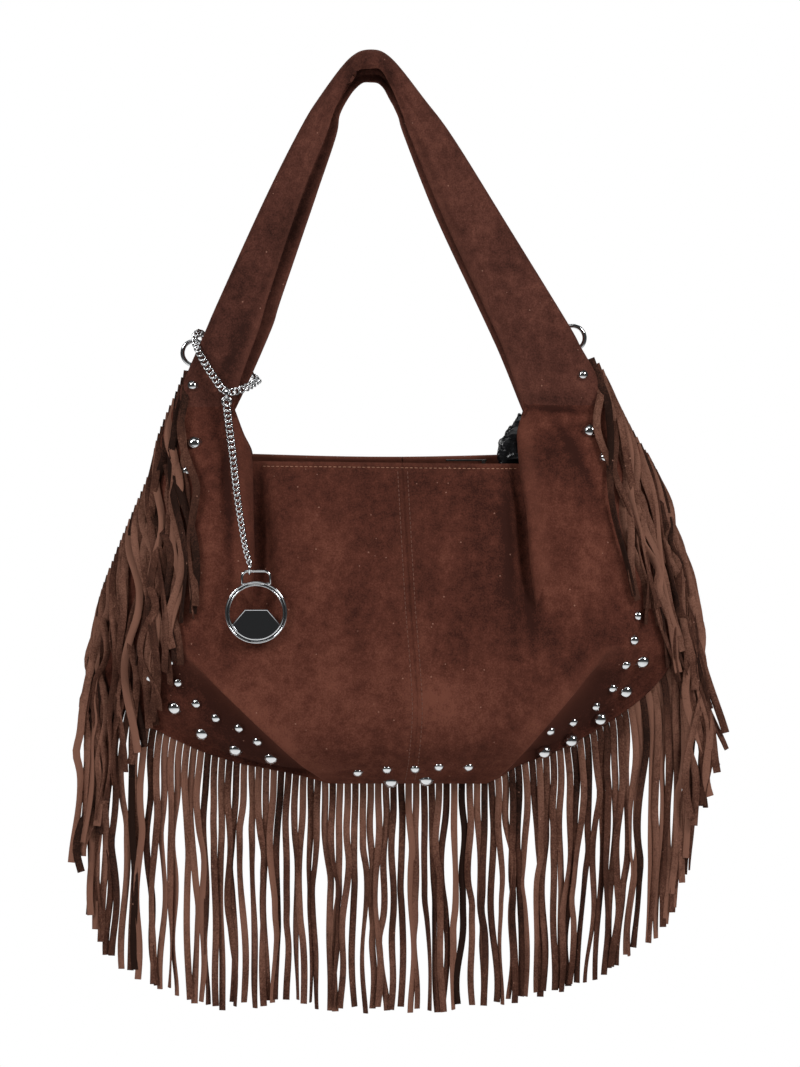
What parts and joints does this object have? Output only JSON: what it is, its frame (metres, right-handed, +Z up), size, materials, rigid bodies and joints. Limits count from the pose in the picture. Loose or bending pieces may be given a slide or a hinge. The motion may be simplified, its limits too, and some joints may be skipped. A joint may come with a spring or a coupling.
{
  "type": "fringed suede shoulder bag",
  "caption": "Slouchy suede shoulder bag with a folded broad handle, long fringe along its sides and hem, dome studs, two side rings and a chain with a round charm.",
  "frame": {"origin": "underside of the handle's crown, where a hook or peg carries the bag", "axes": "+Z up along the hanging bag, -Y out of its front, +X to the right as seen from the front"},
  "size_m": [0.4514, 0.1016, 0.6781],
  "materials": {
    "suede": "dark brown suede with a soft brushed nap",
    "fringe_suede": "brown suede cut into narrow flat strands, paler than the panels",
    "lining": "dark woven lining",
    "coated_cloth": "black coated cloth, glossy and creased",
    "polished_metal": "mirror polished silver-coloured plating",
    "zip_metal": "dark zip metal"
  },
  "bodies": {
    "bag": {"front_panel_left": "suede", "front_panel_right": "suede", "back_panel_left": "suede", "back_panel_right": "suede", "lining": "lining", "handle": "suede", "fringe_left": "fringe_suede", "fringe_right": "fringe_suede", "fringe_bottom": "fringe_suede", "ring_tab_left": "suede", "ring_tab_right": "suede", "chain_loop": "polished_metal", "zip_teeth_front": "zip_metal", "zip_tape_front": "lining", "zip_teeth_back": "zip_metal", "zip_tape_back": "lining", "zip_end_tab": "coated_cloth", "small_stud_1": "polished_metal", "small_stud_2": "polished_metal", "small_stud_3": "polished_metal", "small_stud_4": "polished_metal", "small_stud_5": "polished_metal", "small_stud_6": "polished_metal", "small_stud_7": "polished_metal", "small_stud_8": "polished_metal", "small_stud_9": "polished_metal", "small_stud_10": "polished_metal", "small_stud_11": "polished_metal", "small_stud_12": "polished_metal", "small_stud_13": "polished_metal", "small_stud_14": "polished_metal", "small_stud_15": "polished_metal", "small_stud_16": "polished_metal", "small_stud_17": "polished_metal", "small_stud_18": "polished_metal", "small_stud_19": "polished_metal", "small_stud_20": "polished_metal", "small_stud_21": "polished_metal", "small_stud_22": "polished_metal", "large_stud_1": "polished_metal", "large_stud_2": "polished_metal", "large_stud_3": "polished_metal", "large_stud_4": "polished_metal", "large_stud_5": "polished_metal", "large_stud_6": "polished_metal", "large_stud_7": "polished_metal", "large_stud_8": "polished_metal", "large_stud_9": "polished_metal", "large_stud_10": "polished_metal", "large_stud_11": "polished_metal", "large_stud_12": "polished_metal", "large_stud_13": "polished_metal", "large_stud_14": "polished_metal"},
    "zip_slider": {"zip_slider": "zip_metal"},
    "zip_pull": {"zip_pull": "zip_metal"},
    "ring_left": {"ring_left": "polished_metal"},
    "ring_right": {"ring_right": "polished_metal"},
    "joining_link": {"joining_link": "polished_metal"},
    "chain_tail": {"chain_tail": "polished_metal"},
    "charm": {"charm": "polished_metal"}
  },
  "joints": [
    {"name": "zip_travel", "type": "slide", "parent": "bag", "child": "zip_slider", "axis": [1, 0, 0], "range_m": [-0.13, 0]},
    {"name": "zip_pull_turn", "type": "hinge", "parent": "zip_slider", "child": "zip_pull", "pos_m": [0.078, 0, -0.26413], "axis": [0, 1, 0], "range_deg": [0, 100]},
    {"name": "ring_left_swing", "type": "hinge", "parent": "bag", "child": "ring_left", "pos_m": [-0.1166, 0.01398, -0.189], "axis": [0, 0, 1], "range_deg": [-110, 15]},
    {"name": "ring_right_swing", "type": "hinge", "parent": "bag", "child": "ring_right", "pos_m": [0.1327, 0.01383, -0.1785], "axis": [0, 0, 1], "range_deg": [-15, 110]},
    {"name": "chain_lift", "type": "hinge", "parent": "bag", "child": "joining_link", "pos_m": [-0.101, -0.0174, -0.216], "axis": [1, 0, 0], "range_deg": [-80, 0]},
    {"name": "chain_swing", "type": "hinge", "parent": "joining_link", "child": "chain_tail", "pos_m": [-0.101, -0.0174, -0.2219], "axis": [0, 1, 0], "range_deg": [-20, 20]},
    {"name": "charm_swing", "type": "hinge", "parent": "chain_tail", "child": "charm", "pos_m": [-0.084, -0.0484, -0.3378], "axis": [1, 0, 0], "range_deg": [-80, 0]}
  ]
}
